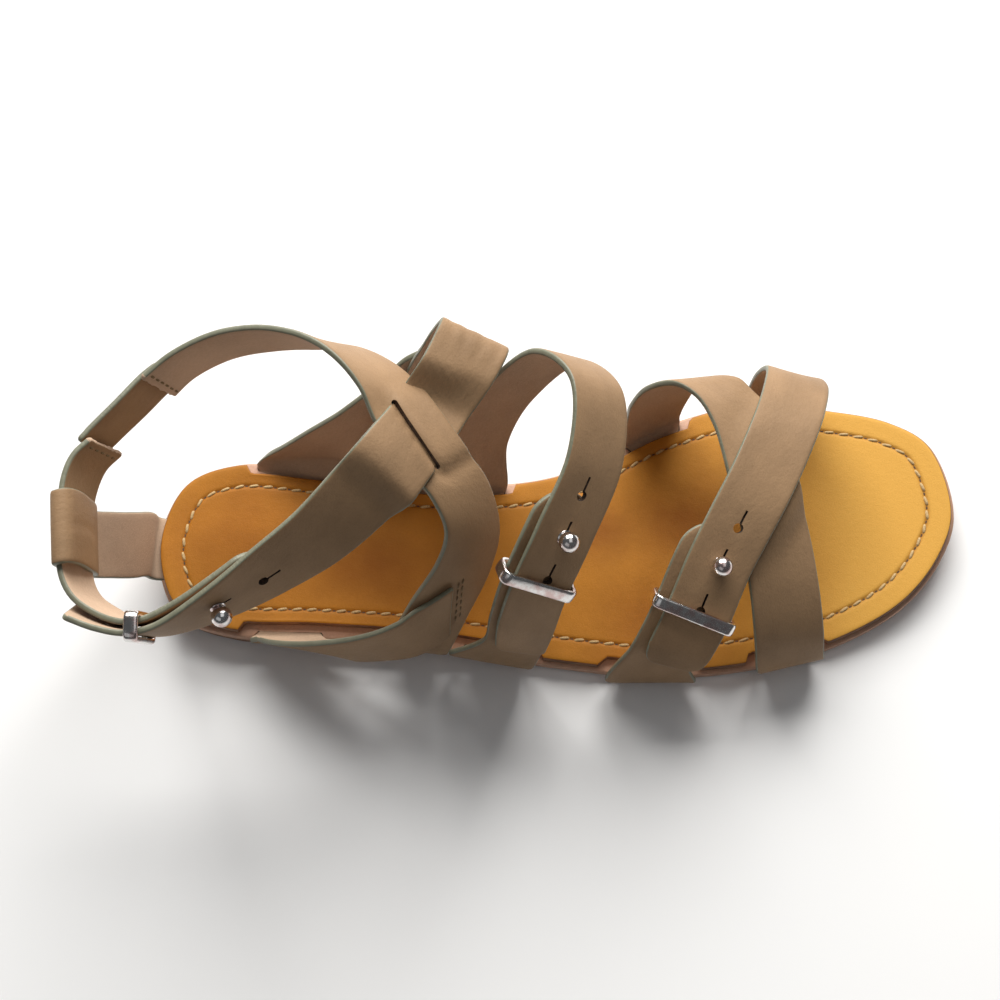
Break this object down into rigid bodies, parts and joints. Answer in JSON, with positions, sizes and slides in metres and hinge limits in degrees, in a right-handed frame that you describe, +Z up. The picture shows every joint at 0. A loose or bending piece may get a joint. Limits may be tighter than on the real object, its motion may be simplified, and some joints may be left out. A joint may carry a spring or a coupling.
{
  "type": "gladiator sandal",
  "caption": "Flat open-toe gladiator sandal for the right foot, with crossed leather straps closed by ball studs and metal keepers.",
  "frame": {"origin": "on the ground, under the middle of the sandal's bounding box", "axes": "+X to the toe, +Y to the medial (big toe) side, +Z up from the ground the sole stands on"},
  "size_m": [0.2692, 0.1006, 0.0955],
  "materials": {
    "strap_leather": "satin taupe leather with painted edges",
    "insole_leather": "smooth mustard tan leather",
    "outsole_leather": "natural leather with a waxed edge",
    "heel_leather": "stacked leather",
    "hardware": "polished"
  },
  "bodies": {
    "root": {"outsole": "outsole_leather", "heel_block": "heel_leather", "insole": "insole_leather", "toe_straps": "strap_leather", "midfoot_strap": "strap_leather", "instep_straps": "strap_leather", "heel_strap": "strap_leather", "toe_billet": "strap_leather", "midfoot_billet": "strap_leather", "ankle_billet": "strap_leather", "ankle_link": "strap_leather", "toe_keeper": "hardware", "midfoot_keeper": "hardware", "ankle_keeper": "hardware", "toe_stud": "hardware", "midfoot_stud": "hardware", "ankle_stud": "hardware"}
  },
  "joints": []
}
